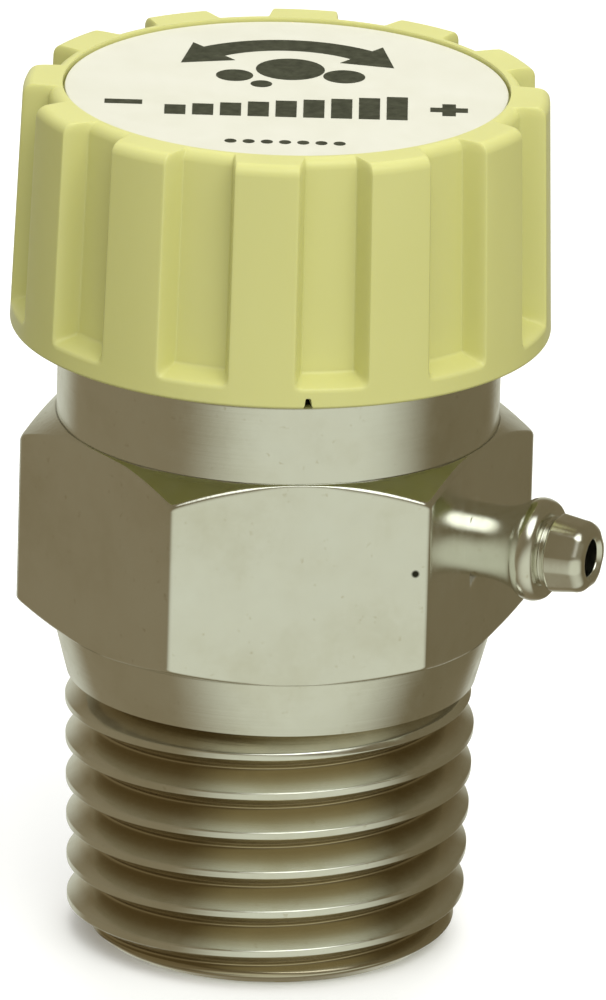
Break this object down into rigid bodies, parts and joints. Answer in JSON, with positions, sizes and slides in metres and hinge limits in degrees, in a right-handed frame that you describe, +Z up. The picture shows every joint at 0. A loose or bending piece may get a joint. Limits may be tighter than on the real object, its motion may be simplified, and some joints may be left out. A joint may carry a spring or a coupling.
{
  "type": "automatic air vent",
  "caption": "Small brass radiator air vent: male taper thread, hex body, side drain nozzle and a ribbed plastic knob over a stack of swelling fibre discs.",
  "frame": {"origin": "thread axis at the lower end face of the male taper thread, where the vent screws into the radiator", "axes": "+Z up the thread axis to the knob, +X along the drain nozzle, square to a hex flat"},
  "size_m": [0.0206, 0.018, 0.0297],
  "materials": {
    "nickel_plate": "satin nickel plating on turned and milled brass",
    "brass": "plain turned brass",
    "stainless": "bright stainless steel",
    "yellow_plastic": "moulded pale yellow plastic with a soft gloss",
    "white_label": "smooth printed white film",
    "fibre": "pressed tan vegetable fibre",
    "rubber": "matt black rubber"
  },
  "bodies": {
    "valve_body": {"body": "nickel_plate", "drain_nozzle": "nickel_plate", "bonnet": "brass", "bonnet_gasket": "rubber", "spindle_o_ring": "rubber", "seat_ring": "rubber", "check_retainer": "brass", "check_spring": "stainless"},
    "disc_cartridge": {"disc_bottom_washer": "brass", "fibre_disc_1": "fibre", "fibre_disc_2": "fibre", "fibre_disc_3": "fibre", "fibre_disc_4": "fibre", "fibre_disc_5": "fibre", "fibre_disc_6": "fibre", "fibre_disc_7": "fibre", "fibre_disc_8": "fibre", "disc_top_washer": "brass"},
    "knob_spindle": {"spindle": "brass", "disc_nut": "brass", "knob": "yellow_plastic", "knob_screw_washer": "stainless", "knob_screw": "stainless", "label_disc": "white_label"},
    "check_valve": {"check_poppet": "brass", "poppet_seal": "rubber"}
  },
  "joints": [
    {"name": "cartridge_lift", "type": "slide", "parent": "valve_body", "child": "disc_cartridge", "axis": [0, 0, 1], "range_m": [0, 0.0015]},
    {"name": "knob_turn", "type": "hinge", "parent": "disc_cartridge", "child": "knob_spindle", "pos_m": [0, 0, 0.0214], "axis": [0, 0, 1], "range_deg": [0, 540.5]},
    {"name": "poppet_lift", "type": "slide", "parent": "valve_body", "child": "check_valve", "axis": [0, 0, 1], "range_m": [0, 0.00151], "deforming": ["check_spring"]}
  ],
  "couplings": [
    {"joint": "knob_turn", "follows": "cartridge_lift", "rad_per_m": 6283.2},
    {"joint": "poppet_lift", "follows": "cartridge_lift", "ratio": 1}
  ]
}
